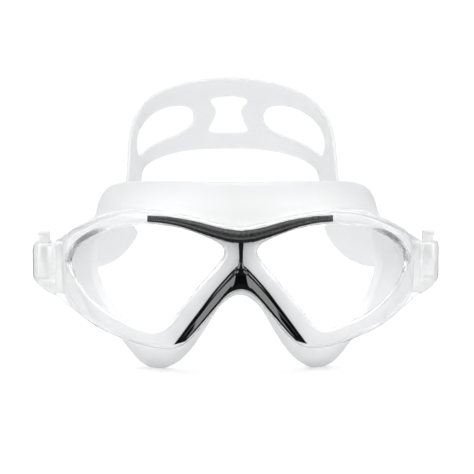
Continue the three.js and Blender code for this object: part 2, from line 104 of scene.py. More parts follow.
BAND_LOW, BAND_HIGH = -4.9, 10.5
TAIL_GAP = 2.6
TAIL_MERGE, TAIL_END = 1.4, 3.6  # strap stations where the tail lies against the band, and ends
# The push tab's boxes, each by its lowest and highest corner.
BUTTON_PAD = ((91.5, 42.9, 15.5), (96.8, 49.5, 17.8))
BUTTON_STEM = ((90.9, 42.9, 10.2), (96.2, 45.7, 16.5))
BUTTON_LEGS = [((x, 42.9, 3.6), (x + 1.2, 45.7, 11)) for x in (90.9, 95)]

WINDOW = [
    (9.2, 13.8), (13, 16), (26, 20.8), (40, 22.9), (50, 22.5), (61, 20.5), (71, 15.7), (77, 10),
    (79, 4.5), (77.3, -1.5), (71, -11), (60, -19.5), (45.5, -25), (38.4, -25.8), (33.5, -23.2),
    (29.5, -17.8), (18, -3.3), (8.8, 7.5), (7.6, 11),
]
# One row for each station round the right half: rim x, z, then seal edge x, z and depth y.
RIM = [
    (0, 22.3, 0, 41.5, 20), (11, 24, 15, 41.8, 21), (21, 26.6, 30, 42, 25),
    (34, 28.9, 44, 42, 29.5), (45, 30, 55, 41.5, 34), (55, 29.4, 62, 39, 38),
    (64, 26.9, 66.5, 33.5, 41), (73, 22.9, 69, 25, 43), (80.5, 18.6, 72, 15, 45.5),
    (84, 12, 74, 6, 47.5), (84.4, 0, 74, -2, 48), (82.6, -12, 71.5, -11, 47),
    (76, -20, 66.5, -20.5, 44.5), (67, -26, 60, -29.5, 42), (56, -30.5, 53, -39, 40),
    (46, -33.4, 46.5, -45.5, 38.5), (37, -34.8, 38.5, -48, 36.5), (30, -34.2, 30.5, -45.3, 33),
    (24, -31, 23, -38, 28), (14, -19, 15.5, -26.5, 22), (7, -10.9, 8.5, -15.3, 16.5),
    (0, -7.4, 0, -10.3, SEAL_DEPTH),
]
BROW_TOP = [(0, 20.3), (8, 21.4), (15.5, 23.3), (21, 24.7), (31, 26.4), (38, 27), (43, 27.1)]
BROW_LOW = [(0, 14.6), (5, 15), (11, 16.6), (19, 19.2), (27, 21.9), (36, 23.7), (43, 24.2)]
BROW_HALF = BROW_TOP[-1][0]
LEG_UPPER = [
    (0, 4.6), (1.6, 4.1), (3.2, 2.8), (7, -1.2), (12.2, -7.2), (18.3, -15.3), (24.5, -23.6),
    (31, -32.6),
]
LEG_LOWER = [(0, -6.6), (4, -7.6), (7.4, -10.2), (13.2, -16.8), (19.4, -24.2), (25.6, -31)]
# Bars on the centreline: half width and z from the top down, and how proud each stands.
NOSE_STEM = ([(1.15, 14.6), (0.9, 10), (0.95, 6), (1.6, 3.4), (2.2, 1)], 1.15)
NOSE_WINGS = [([(2.6, 3), (3, 2.55), (2.8, 2.1)], 1.3), ([(2.8, 0.9), (3.2, 0.45), (3, -0.1)], 1.45)]
# Strap stations on the right, from the buckle to the middle of the back: lower and upper edge.
STRAP = [
    ((97.4, 50, -4.9), (97.4, 50, 10.5)), ((97, 58, -5.3), (97, 57, 10.6)),
    ((92, 68, -5.4), (92, 66, 11.3)), ((83, 78, -5), (83.3, 75, 13)),
    ((74, 88, -3.8), (75, 82.5, 15.6)), ((66, 95.5, -2.6), (67.5, 88.5, 19.5)),
    ((58, 103.5, 2), (60, 95, 27.5)), ((51.3, 111, 11), (56, 100, 37.5)),
    ((48, 121, 26), (54.5, 106, 52)), ((49.3, 138, 41), (53.8, 112.5, 63.5)),
    ((46.3, 157, 48.3), (51, 125.5, 75)), ((35.5, 171, 53.6), (41.5, 143, 86.5)),
    ((19, 179.5, 56.7), (22.5, 153.3, 94)), ((0, 182, 57.4), (0, 156, 96.5)),
]
MIDDLE_HOLE = [(10, 0.42), (7.2, 0.09), (9, -0.2), (11.6, -0.48)]
SIDE_HOLE = {"from": 20, "to": 76, "height": 0.5, "squareness": 2.6}


# ---- geometry helpers ----
def facing(x):
    """How far the wrapped front stands back at x."""
    return WRAP * x * x


def place(points):
    """Millimetres from the front of the bridge to metres in the row frame."""
    moved = np.array(points, float)
    moved[:, 1] -= SEAL_DEPTH
    return moved * MM


def hermite(p0, p1, p2, p3, share):
    """Centripetal Catmull-Rom between p1 and p2."""
    gaps = [max(np.linalg.norm(b - a), 1e-9) ** 0.5 for a, b in ((p0, p1), (p1, p2), (p2, p3))]
    t1 = (p1 - p0) / gaps[0] - (p2 - p0) / (gaps[0] + gaps[1]) + (p2 - p1) / gaps[1]
    t2 = (p2 - p1) / gaps[1] - (p3 - p1) / (gaps[1] + gaps[2]) + (p3 - p2) / gaps[2]
    t1, t2 = t1 * gaps[1], t2 * gaps[1]
    bend = -3 * p1 + 3 * p2 - 2 * t1 - t2
    return p1 + t1 * share + bend * share ** 2 + (2 * p1 - 2 * p2 + t1 + t2) * share ** 3


def closed_curve(points, samples):
    points = [np.array(p, float) for p in points]
    n = len(points)
    line = []
    for i in range(samples):
        k, share = divmod(n * i / samples, 1)
        line.append(hermite(*[points[(int(k) + j) % n] for j in (-1, 0, 1, 2)], share))
    return np.array(line)


def around(points, k):
    """The points before k, at k and the next two, drawn on straight past either end."""
    p1, p2 = points[k], points[k + 1]
    p0 = points[k - 1] if k else 2 * p1 - p2
    p3 = points[k + 2] if k + 2 < len(points) else 2 * p2 - p1
    return p0, p1, p2, p3


def open_at(points, position):
    """A point of the open curve through points, position counting in points."""
    k = min(int(position), len(points) - 2)
    return hermite(*around(points, k), position - k)


def open_curve(points, samples):
    points = [np.array(p, float) for p in points]
    ends = np.linspace(0, len(points) - 1, samples)
    return np.array([open_at(points, p) for p in ends])


def evenly(line, samples, closed=True):
    """The same line with its points spaced evenly."""
    path = np.vstack([line, line[:1]]) if closed else line
    lengths = np.concatenate([[0], np.cumsum(np.linalg.norm(np.diff(path, axis=0), axis=1))])
    at = np.linspace(0, lengths[-1], samples, endpoint=not closed)
    return np.stack([np.interp(at, lengths, path[:, k]) for k in range(path.shape[1])], axis=1)


def fair(line, sigma):
    """Rounds off the ripples of a closed line that are shorter than a few sigma."""
    step = np.linalg.norm(line - np.roll(line, 1, axis=0), axis=1).mean()
    waves = 2 * math.pi * np.fft.fftfreq(len(line), step)
    spectrum = np.fft.fft(line, axis=0) * np.exp(-0.5 * (waves * sigma) ** 2)[:, None]
    return np.fft.ifft(spectrum, axis=0).real


def outwards(line):
    """Unit normals of a closed flat line, away from its inside."""
    along = np.roll(line, -1, axis=0) - np.roll(line, 1, axis=0)
    x, z = line[:, 0], line[:, 1]
    area = np.sum(x * np.roll(z, -1) - np.roll(x, -1) * z)
    normals = np.stack([along[:, 1], -along[:, 0]], axis=1) * np.sign(area)
    return normals / np.linalg.norm(normals, axis=1)[:, None]


def whole(half):
    """Both halves of rows whose first and last lie on the centreline."""
    rows = [tuple(row) for row in half]
    return rows + [(-x, *rest) for x, *rest in rows[-2:0:-1]]


def upright(line, y):
    """A flat outline of x, z at one depth."""
    return np.stack([line[:, 0], np.full(len(line), y), line[:, 1]], axis=1)


def on_front(line, depth):
    """A flat outline of x, z at a depth behind the wrapped front."""
    return np.stack([line[:, 0], facing(line[:, 0]) + depth, line[:, 1]], axis=1)


def ring_on_front(line, normals, by, depth):
    """The line moved outwards, standing at a depth behind the wrapped front.

    by is a distance, or a pair of them: one at the nose and one towards the ears, which is less
    along the top and a little more along the bottom.
    """
    if isinstance(by, tuple):
        nose_end, change, top_less = 34, 20, 0.9
        share = np.clip((np.abs(line[:, 0]) - nose_end) / change, 0, 1)
        by = by[0] + (by[1] - by[0] - top_less * np.clip(normals[:, 1], -0.3, 1)) * share
        by = by[:, None]
    return on_front(line + normals * by, depth)


class Body:
    """A closed surface that grows ring by ring, then becomes one mesh object."""

    def __init__(self):
        self.points = []
        self.faces = []
        self.count = 0

    def add(self, ring):
        ring = np.array(ring, float)
        self.points.append(ring)
        first = self.count
        self.count += len(ring)
        return list(range(first, self.count))

    def strips(self, rings, closed=True):
        """Quads between each ring and the next; gives back the first and last rings' numbers."""
        numbers = [self.add(ring) for ring in rings]
        for a, b in zip(numbers, numbers[1:]):
            self.bridge(a, b, closed)
        return numbers[0], numbers[-1]

    def bridge(self, a, b, closed=True):
        last = len(a) if closed else len(a) - 1
        for i in range(last):
            j = (i + 1) % len(a)
            self.faces.append((a[i], a[j], b[j], b[i]))

    def fill(self, loops, flat, lift, spacing):
        """Fills the area inside the first loop and outside the others.

        flat gives each loop's plane outline, and lift turns new plane points into space.
        """
        outline = np.vstack(flat)
        numbers = [n for loop in loops for n in loop]
        edges = []
        start = 0
        for line in flat:
            size = len(line)
            edges += [(start + i, start + (i + 1) % size) for i in range(size)]
            start += size
        ends = np.array(edges)
        inner = inner_points(outline, ends, spacing)
        numbers += self.add(lift(inner)) if len(inner) else []
        plane = np.vstack([outline, inner]) if len(inner) else outline
        found = delaunay_2d_cdt([Vector(p) for p in plane], edges, [], 0, 1e-7)
        where = [ids[0] for ids in found[3]]
        triangles = np.array([[where[v] for v in face] for face in found[2]])
        middles = plane[triangles].mean(axis=1)
        kept = triangles[inside(middles, outline, ends)]
        self.faces += [tuple(numbers[v] for v in face) for face in kept]

    def cap(self, first, last):
        self.faces += [tuple(first[::-1]), tuple(last)]

    def shape(self, name, material, crease):
        mesh = bpy.data.meshes.new(name)
        mesh.from_pydata(place(np.vstack(self.points)).tolist(), [], self.faces)
        return finish_mesh(name, mesh, material, crease)


def inside(spots, outline, ends):
    """Which spots lie inside the outline, by counting the edges to their right."""
    a, b = outline[ends[:, 0]], outline[ends[:, 1]]
    x, z = spots[:, 0][:, None], spots[:, 1][:, None]
    spans = (a[:, 1] > z) != (b[:, 1] > z)
    rise = np.where(b[:, 1] == a[:, 1], 1, b[:, 1] - a[:, 1])
    cross = a[:, 0] + (z - a[:, 1]) * (b[:, 0] - a[:, 0]) / rise
    return (spans & (x < cross)).sum(axis=1) % 2 == 1


def inner_points(outline, ends, spacing):
    """A staggered grid of points inside the outline, clear of its edges."""
    low, high = outline.min(axis=0), outline.max(axis=0)
    rows = np.arange(low[1], high[1], spacing * 0.87)
    grid = [
        (x + (i % 2) * spacing / 2, z)
        for i, z in enumerate(rows) for x in np.arange(low[0], high[0], spacing)
    ]
    grid = np.array(grid)
    grid = grid[inside(grid, outline, ends)]
    if not len(grid):
        return grid
    nearest = np.linalg.norm(grid[:, None] - outline[None], axis=2).min(axis=1)
    return grid[nearest > spacing * 0.55]


def in_scene(name, data):
    """A new object that shows the data."""
    thing = bpy.data.objects.new(name, data)
    bpy.context.scene.collection.objects.link(thing)
    return thing


def finish_mesh(name, mesh, material, crease):
    """Faces out, smooth faces with edges sharper than crease degrees kept, and one material."""
    work = bmesh.new()
    work.from_mesh(mesh)
    bmesh.ops.remove_doubles(work, verts=work.verts, dist=1e-7)
    bmesh.ops.recalc_face_normals(work, faces=work.faces)
    for face in work.faces:
        face.smooth = True
    limit = math.radians(crease)
    for edge in work.edges:
        edge.smooth = edge.calc_face_angle(0) < limit
    work.to_mesh(mesh)
    work.free()
    mesh.materials.clear()
    mesh.materials.append(material)
    mesh.name = name
    return in_scene(name, mesh)


def finish_again(piece, name, crease):
    """The piece under a new name, its mesh cleaned once more."""
    mesh = piece.data
    bpy.data.objects.remove(piece)
    return finish_mesh(name, mesh, mesh.materials[0], crease)


def solid(name, rings, material, crease=45):
    """A closed body through the rings, with flat ends."""
    body = Body()
    body.cap(*body.strips(rings))
    return body.shape(name, material, crease)


def lengthwise(name, lines, material, crease):
    """A closed bar given by lines that run along it, in order round its section."""
    body = Body()
    first, last = body.strips(lines, closed=False)
    body.bridge(last, first, closed=False)
    for end in (0, -1):
        body.faces.append(tuple(body.add([line[end] for line in lines])))
    return body.shape(name, material, crease)


def join(name, parts):
    """One object from several."""
    work = bmesh.new()
    for part in parts:
        work.from_mesh(part.data)
    mesh = bpy.data.meshes.new(name)
    work.to_mesh(mesh)
    work.free()
    mesh.materials.append(parts[0].data.materials[0])
    for part in parts:
        bpy.data.objects.remove(part)
    return in_scene(name, mesh)


def mirrored(piece, name):
    """A copy for the other side, its faces turned round again."""
    mesh = piece.data.copy()
    mesh.name = name
    mesh.transform(Matrix.Scale(-1, 4, (1, 0, 0)))
    mesh.flip_normals()
    return in_scene(name, mesh)


def boolean(piece, tool, operation):
    """The piece joined with, cut by or cut to the tool, which is used up."""
    modifier = piece.modifiers.new(operation, "BOOLEAN")
    modifier.object = tool
    modifier.operation = operation
    modifier.solver = "EXACT"
    bpy.context.view_layer.update()
    seen = piece.evaluated_get(bpy.context.evaluated_depsgraph_get())
    mesh = bpy.data.meshes.new_from_object(seen)
    piece.modifiers.clear()
    piece.data = mesh
    bpy.data.objects.remove(tool)
    return piece


def settle(piece, body, slot, *nodes):
    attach(piece, body)
    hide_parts(*nodes)


def rounded(corners, radius, steps=4):
    """A closed outline with its corners turned by small arcs."""
    made = []
    n = len(corners)
    for i in range(n):
        before, at, after = (np.array(corners[(i + k) % n], float) for k in (-1, 0, 1))
        back, ahead = np.linalg.norm(before - at), np.linalg.norm(after - at)
        a, b = (before - at) / back, (after - at) / ahead
        reach = min(radius, back * 0.45, ahead * 0.45)
        for t in np.linspace(0, 1, steps):
            made.append(at + a * reach * (1 - t) ** 2 + b * reach * t ** 2)
    return made


def rod(radius, start, end, edge=0.0):
    """A frosted round bar between two places, with its end edges turned if edge is given."""
    start, end = np.array(start, float), np.array(end, float)
    length = np.linalg.norm(end - start)
    axis = (end - start) / length
    across = np.array([0, 1, 0]) if abs(axis[1]) < 0.5 else np.array([0, 0, 1])
    u = np.cross(axis, across)
    v = np.cross(axis, u)
    turns = np.linspace(0, 2 * math.pi, 40, endpoint=False)
    circle = np.cos(turns)[:, None] * u + np.sin(turns)[:, None] * v
    turned = [(0, radius)]  # from the end inwards: how far along, and the radius there
    if edge:
        turned = [(edge - edge * math.sin(t), radius - edge + edge * math.cos(t))
                  for t in np.linspace(math.pi / 2, 0, 5)]
    rings = [start + axis * along + circle * r for along, r in turned]
    rings += [start + axis * (length - along) + circle * r for along, r in turned[::-1]]
    return solid("rod", rings, FROSTED)


def block(low, high, radius, dish=0.0):
    """A milky box with all its edges turned, and its top dished by the given depth."""
    low, high = np.array(low, float), np.array(high, float)
    corners = [(low[0], low[1]), (high[0], low[1]), (high[0], high[1]), (low[0], high[1])]
    outline = np.array(rounded(corners, radius * 1.6, 6))
    normals = outwards(outline)

    def layer(flat, z):
        return np.column_stack([flat, np.full(len(flat), z)])

    turned = [(outline - normals * radius * (1 - math.sin(t)), radius * (1 - math.cos(t)))
              for t in np.linspace(0, math.pi / 2, 5)]
    rings = [layer(flat, low[2] + rise) for flat, rise in turned]
    rings += [layer(flat, high[2] - rise) for flat, rise in turned[::-1]]
    middle, top = (low + high)[:2] / 2, turned[0][0]
    for share in (0.75, 0.5, 0.25):
        rings.append(layer(middle + (top - middle) * share, high[2] - dish * (1 - share ** 2)))
    return solid("block", rings, MILKY, 50)


# ---- materials ----
def nodes_of(name):
    material = bpy.data.materials.new(name)
    material.use_nodes = True
    tree = material.node_tree
    return material, tree, tree.nodes["Principled BSDF"]


def put(tree, node, settings):
    """Fills sockets, each from a number, a colour or another node's output."""
    for socket, value in settings.items():
        if isinstance(value, bpy.types.NodeSocket):
            tree.links.new(value, node.inputs[socket])
        else:
            node.inputs[socket].default_value = value


def add(tree, kind, settings=None, **attributes):
    """A new shader node with its attributes and sockets set."""
    node = tree.nodes.new("ShaderNode" + kind)
    for name, value in attributes.items():
        setattr(node, name, value)
    put(tree, node, settings or {})
    return node


def calc(tree, operation, *values):
    return add(tree, "Math", dict(enumerate(values)), operation=operation).outputs["Value"]


def mixed(tree, share, a, b):
    return add(tree, "Mix", {0: share, 2: a, 3: b}).outputs[0]


def tint(tree, source, dark, light):
    colours = {0: source, 6: (*dark, 1), 7: (*light, 1)}
    return add(tree, "Mix", colours, data_type="RGBA").outputs[2]


def noise(tree, scale, detail=2, distortion=0.0):
    """Noise in the piece's own space; scale counts features in a metre."""
    where = add(tree, "TexCoord").outputs["Object"]
    settings = {"Vector": where, "Scale": scale, "Detail": detail, "Distortion": distortion}
    return add(tree, "TexNoise", settings).outputs["Fac"]


def ramp(tree, source, start, end, low, high, **attributes):
    settings = {"Value": source, "From Min": start, "From Max": end, "To Min": low, "To Max": high}
    return add(tree, "MapRange", settings, **attributes).outputs["Result"]


def spread(tree, source, low, high):
    """The middle of a noise stretched to the range from low to high."""
    return ramp(tree, source, 0.3, 0.7, low, high)


def fade(tree, source, start, end, low, high):
    """A soft step from low to high as the source goes from start to end."""
    return ramp(tree, source, start, end, low, high, interpolation_type="SMOOTHSTEP")


def bump(tree, source, strength, distance):
    settings = {"Height": source, "Strength": strength, "Distance": distance}
    return add(tree, "Bump", settings).outputs["Normal"]


def choose(tree, share, first, second):
    """Shows the first shader, or the second by the share."""
    mix = add(tree, "MixShader", {0: share, 1: first.outputs["BSDF"], 2: second.outputs["BSDF"]})
    put(tree, tree.nodes["Material Output"], {"Surface": mix.outputs["Shader"]})


def lets_lamps_through(tree, shader, share):
    """Light passes the clear plastic to what is behind it, as it does through thin walls."""
    clear = add(tree, "BsdfTransparent", {"Color": (share, share, share, 1)})
    choose(tree, add(tree, "LightPath").outputs["Is Shadow Ray"], shader, clear)


def clear_plastic(name, colour, roughness, ior, waviness, share, haze):
    material, tree, shader = nodes_of(name)
    put(tree, shader, {
        "Base Color": (*colour, 1),
        "Transmission Weight": 1 - haze,
        "IOR": ior,
        "Roughness": spread(tree, noise(tree, 160, 3), roughness * 0.6, roughness * 1.6),
        "Normal": bump(tree, noise(tree, 110, 1), waviness, 0.0004),
    })
    lets_lamps_through(tree, shader, share)
    return material


def vary_by_place(material):
    """Hazy in the middle, polished round the lenses' outer ends, and frosted at the ears."""
    slant, lens_end = -0.45, (0.062, 0, 0)  # of the frosting's edge, and the lens's outer end
    tree = material.node_tree
    shader = tree.nodes["Principled BSDF"]
    where = add(tree, "TexCoord").outputs["Object"]
    x, _, z = add(tree, "SeparateXYZ", {"Vector": where}).outputs
    out = calc(tree, "ABSOLUTE", x)
    ends = fade(tree, calc(tree, "MULTIPLY_ADD", z, slant, out), 0.0785, 0.0815, 0, 1)
    flat = add(tree, "CombineXYZ", {"X": out, "Z": z}).outputs["Vector"]
    away = add(tree, "VectorMath", {0: flat, 1: lens_end}, operation="DISTANCE").outputs["Value"]
    hazy = shader.inputs["Transmission Weight"].default_value
    polished = calc(tree, "MINIMUM", fade(tree, away, 0.0198, 0.0218, 1, hazy),
                    fade(tree, z, -0.005, 0.003, hazy, 1))
    smooth = shader.inputs["Roughness"].links[0].from_socket
    colour = shader.inputs["Base Color"].default_value[:3]
    put(tree, shader, {
        "Roughness": mixed(tree, ends, smooth, 0.16),
        "Base Color": tint(tree, ends, colour, (0.87, 0.873, 0.876)),
        "Transmission Weight": mixed(tree, ends, polished, 0.6),
    })


def frosted_plastic():
    """Clear plastic with a fine matt skin, as the buckles are."""
    material, tree, shader = nodes_of("frosted_shell")
    put(tree, shader, {
        "Base Color": tint(tree, noise(tree, 160, 3), (0.905, 0.908, 0.91), (0.93, 0.932, 0.934)),
        "Transmission Weight": 0.78,
        "IOR": 1.27,
        "Roughness": spread(tree, noise(tree, 500, 3), 0.12, 0.2),
        "Normal": bump(tree, noise(tree, 500, 1), 0.03, 0.00003),
    })
    lets_lamps_through(tree, shader, 0.9)
    return material


def silicone_rubber():
    material, tree, shader = nodes_of("silicone")
    put(tree, shader, {
        "Base Color": tint(tree, noise(tree, 55, 4, distortion=0.4),
                           (0.75, 0.755, 0.763), (0.785, 0.79, 0.797)),
        "Transmission Weight": 0.14,
        "IOR": 1.35,
        "Subsurface Weight": 0.85,
        "Subsurface Radius": (0.004, 0.004, 0.004),
        "Subsurface Scale": 1.0,
        "Roughness": spread(tree, noise(tree, 420, 5), 0.34, 0.5),
        "Normal": bump(tree, noise(tree, 2600, 3), 0.12, 0.00006),
    })
    return material


def milky_plastic():
    material, tree, shader = nodes_of("milky_plastic")
    put(tree, shader, {
        "Base Color": tint(tree, noise(tree, 220, 3), (0.78, 0.785, 0.78), (0.83, 0.835, 0.83)),
        "IOR": 1.4,
        "Subsurface Weight": 0.6,
        "Subsurface Radius": (0.002, 0.002, 0.002),
        "Roughness": spread(tree, noise(tree, 900, 4), 0.22, 0.36),
        "Normal": bump(tree, noise(tree, 700, 2), 0.04, 0.00003),
    })
    return material


def black_plastic(name, colour, roughness, grain, strength):
    material, tree, shader = nodes_of(name)
    worn = tuple(c * 0.8 for c in colour)
    put(tree, shader, {
        "Base Color": tint(tree, noise(tree, 300, 4), worn, colour),
        "IOR": 1.5,
        "Roughness": spread(tree, noise(tree, 500, 4), roughness * 0.85, roughness * 1.2),
        "Normal": bump(tree, noise(tree, grain, 2), strength, 0.00003),
    })
    return material


CLEAR = clear_plastic("clear_shell", (0.875, 0.877, 0.882), 0.02, 1.49, 0.10, 0.97, 0.3)
vary_by_place(CLEAR)
LENS = clear_plastic("lens", (0.995, 0.997, 0.998), 0.006, 1.28, 0.0, 0.98, 0)
FROSTED = frosted_plastic()
SILICONE = silicone_rubber()
MILKY = milky_plastic()
GLOSS = black_plastic("gloss_black", (0.002, 0.0022, 0.003), 0.06, 350, 0.05)
SATIN = black_plastic("satin_black", (0.008, 0.0084, 0.01), 0.25, 2400, 0.2)


# ---- camera, light and floor ----
def camera():
    """Stands a little to the left of the mask and above it, as far off as the perspective says."""
    azimuth, elevation, distance = math.radians(2.4), math.radians(5), 0.7
    width = 0.218  # of the picture, at the front of the bridge
    look = Vector((math.sin(azimuth) * math.cos(elevation), math.cos(azimuth) * math.cos(elevation),
                   -math.sin(elevation)))
    data = bpy.data.cameras.new("camera")
    data.sensor_width = 36
    data.lens = data.sensor_width * distance / width
    data.shift_x = -0.0084
    data.shift_y = 0.0802
    data.clip_start = 0.01
    data.clip_end = 50
    view = in_scene("camera", data)
    view.location = Vector((0, -SEAL_DEPTH * MM, 0)) - look * distance
    view.rotation_euler = look.to_track_quat("-Z", "Y").to_euler()
    bpy.context.scene.camera = view


def softbox(name, at, size, power, sheen_only=False):
    """A soft panel aimed at the mask; a sheen-only one shows in sheen and not on matt skin."""
    data = bpy.data.lights.new(name, "AREA")
    data.shape = "RECTANGLE"
    data.size, data.size_y = size
    data.energy = power
    lamp = in_scene(name, data)
    lamp.location = at
    lamp.visible_diffuse = not sheen_only
    aim = Vector((0, 0.02, 0)) - Vector(at)
    lamp.rotation_euler = aim.to_track_quat("-Z", "Y").to_euler()


def studio():
    """An even white room to the eye and to matt surfaces.

    Clear and mirror surfaces also see its dark side behind the camera and its dim upper wings.
    """
    world = bpy.data.worlds.new("studio")
    bpy.context.scene.world = world
    world.use_nodes = True
    tree = world.node_tree
    where = add(tree, "TexCoord").outputs["Generated"]
    x, y, z = add(tree, "SeparateXYZ", {"Vector": where}).outputs
    front = fade(tree, y, -0.45, 0.25, 0.025, 1.03)
    wings = fade(tree, calc(tree, "ABSOLUTE", x), 0.35, 0.7, 0, 1)
    raised = fade(tree, z, -0.42, -0.08, 0, 0.92)
    dimmed = calc(tree, "SUBTRACT", 1, calc(tree, "MULTIPLY", wings, raised))
    path = add(tree, "LightPath").outputs
    plain = calc(tree, "MAXIMUM", path["Is Camera Ray"], path["Diffuse Depth"])
    put(tree, tree.nodes["Background"], {
        "Color": (1, 1, 1, 1),
        "Strength": mixed(tree, plain, calc(tree, "MULTIPLY", front, dimmed), 1.02),
    })
    softbox("key", at=(-0.75, -0.95, 0.85), size=(0.7, 0.5), power=1.0)
    softbox("over", at=(0, -0.65, 1.2), size=(1.5, 0.5), power=34.0, sheen_only=True)
    softbox("top", at=(0, 0.1, 1.2), size=(1.2, 1.0), power=1.5)
    for side in (1, -1):
        softbox("strip", at=(0.66 * side, -1.3, 0.24), size=(0.7, 0.55), power=6.8, sheen_only=True)
        softbox("side", at=(1.0 * side, -0.7, 0.7), size=(0.26, 0.26), power=2.6, sheen_only=True)


def floor():
    """A pale sheet under the mask, dim to mirror surfaces so that black trims stay black."""
    low, half = CAD_BOX[0][2], 6
    mesh = bpy.data.meshes.new("floor")
    corners = [(-half, -half, low), (half, -half, low), (half, half, low), (-half, half, low)]
    mesh.from_pydata(corners, [], [(0, 1, 2, 3)])
    material, tree, shader = nodes_of("pale_floor")
    put(tree, shader, {
        "Base Color": tint(tree, noise(tree, 3, 2), (0.965, 0.965, 0.965), (0.985, 0.985, 0.985)),
        "Roughness": 1.0,
        "Specular IOR Level": 0.0,
        "Emission Color": (1, 1, 1, 1),
        "Emission Strength": 0.14,
    })
    path = add(tree, "LightPath").outputs
    mirrored_ray = add(tree, "Math", {0: path["Is Glossy Ray"], 1: path["Is Transmission Ray"]},
                       operation="SUBTRACT", use_clamp=True).outputs["Value"]
    choose(tree, mirrored_ray, shader, add(tree, "BsdfDiffuse", {"Color": (0.13, 0.13, 0.13, 1)}))
    mesh.materials.append(material)
    in_scene("floor", mesh)


# ---- outlines shared by the front's pieces ----
def round_rim(half, sigma):
    """A smooth closed line through one place for each station of both halves."""
    return fair(closed_curve(whole(half), RIM_SAMPLES), sigma)


rim_line = round_rim([row[:2] for row in RIM], 1.2)
rim_out = outwards(rim_line)
seal_line = round_rim([row[2:4] for row in RIM], 1.5)
seal_out = outwards(seal_line)
seal_depth = fair(closed_curve([(row[4], 0) for row in whole(RIM)], RIM_SAMPLES), 2.0)[:, 0]
window_right = fair(evenly(closed_curve(WINDOW, 1200), WINDOW_SAMPLES), 0.7)
window_left = (window_right * (-1, 1))[::-1]


def front_body(outer_rings, hole_profile, lines):
    """A wrapped plate: rings round its outside, and (outward, depth) profiles round its holes."""
    spacing = 3.0  # of the points inside its two faces
    body = Body()
    first, last = body.strips(outer_rings)
    loops = [[first], [last]]
    flats = [[outer_rings[0][:, [0, 2]]], [outer_rings[-1][:, [0, 2]]]]
    for line in lines:
        rings = [ring_on_front(line, outwards(line), by, depth) for by, depth in hole_profile]
        near, far = body.strips(rings)
        for side, numbers, ring in ((0, near, rings[0]), (1, far, rings[-1])):
            loops[side].append(numbers)
            flats[side].append(ring[:, [0, 2]])
    for side, ring in ((0, outer_rings[0]), (1, outer_rings[-1])):
        depth = ring[0, 1] - facing(ring[0, 0])
        body.fill(loops[side], flats[side], lambda spots: on_front(spots, depth), spacing)
    return body


# ---- frame ----
def frame_rings():
    """Front land, a fine groove, the round shoulder, the rim wall and the seat for the skirt."""
    shoulder = 1.7
    turns = np.linspace(math.pi / 2, 0, 8)
    profile = [(-2.9, 0), (-2.7, 0.02), (-2.6, 0.3), (-2.2, 0.34), (-2.05, 0.05)]
    profile += [(shoulder * math.cos(t) - shoulder, shoulder - shoulder * math.sin(t)) for t in turns]
    profile += [(0, FRAME_DEPTH - 0.5), (-0.15, FRAME_DEPTH - 0.15), (-0.5, FRAME_DEPTH)]
    profile += [(0.4 - FRAME_WALL, FRAME_DEPTH), (0.1 - FRAME_WALL, FRAME_DEPTH - 0.1)]
    profile += [(-FRAME_WALL, FRAME_DEPTH - 0.4), (-FRAME_WALL, LENS_BACK + 0.4)]
    profile += [(-FRAME_WALL - 0.12, LENS_BACK + 0.1), (-FRAME_WALL - 0.45, LENS_BACK)]
    return [ring_on_front(rim_line, rim_out, by, depth) for by, depth in profile]


def lug():
    """The ear behind the frame's right end, a round-ended plate with turned edges."""
    y, z = HINGE
    arc = [(y + LUG_RADIUS * math.sin(t), z + LUG_RADIUS * math.cos(t))
           for t in np.linspace(0, math.pi, 25)]
    line = fair(evenly(np.array(LUG_TOP + arc + LUG_FOOT, float), 120), 0.8)
    normals = outwards(line)
    edge = 0.6
    turned = [(0, -edge), (edge * 0.3, -edge * 0.3), (edge, 0)]  # how far in from the face, and out
    sections = [(LUG_INNER + deep, by) for deep, by in turned]
    sections += [(LUG_OUTER - deep, by) for deep, by in turned[::-1]]
    rings = [np.insert(line + normals * by, 0, float(x), axis=1) for x, by in sections]
    return solid("lug", rings, CLEAR)


def gusset():
    """The wedge that carries the frame's end wall out to the lug, cleared from the inside."""
    rings = []
    stations, lows, highs = zip(*GUSSET)
    for x in np.linspace(stations[0], stations[-1], 15):
        low, high = np.interp(x, stations, lows), np.interp(x, stations, highs)
        front, back = facing(x) + GUSSET_FRONT, facing(x) + FRAME_DEPTH - 0.05
        corners = [(front, low), (back, low), (back, high), (front, high)]
        rings.append([(x, y, z) for y, z in rounded(corners, 1.6, 6)])
    wedge = solid("gusset", rings, CLEAR)
    inner_wall = rim_line - rim_out * (FRAME_WALL - 0.3)
    room = solid("room", [upright(inner_wall, y) for y in (-10.0, 60.0)], CLEAR)
    return boolean(wedge, room, "DIFFERENCE")


def front_frame():
    lip = [(1.8, 0), (1.5, 0.02), (1.0, 0.22), (0.5, 0.55), (0.15, 0.95), (0, 1.35),
           (0.05, LENS_SEAT), (0.15, LENS_SEAT), ((2.6, 1.35), LENS_SEAT),
           ((2.75, 1.5), LENS_SEAT + 0.1), ((2.8, 3.0), LENS_BACK - 0.3),
           ((2.9, 3.1), LENS_BACK - 0.08), (3.25, LENS_BACK)]
    body = front_body(frame_rings(), lip, [window_right, window_left])
    shell = body.shape("front_frame", CLEAR, crease=50)
    for make in (gusset, lug):
        right = make()
        left = mirrored(right, "ear_left")
        boolean(shell, right, "UNION")
        boolean(shell, left, "UNION")
    settle(finish_again(shell, "clear_frame", 50), "mask", "clear_shell", "front_frame")


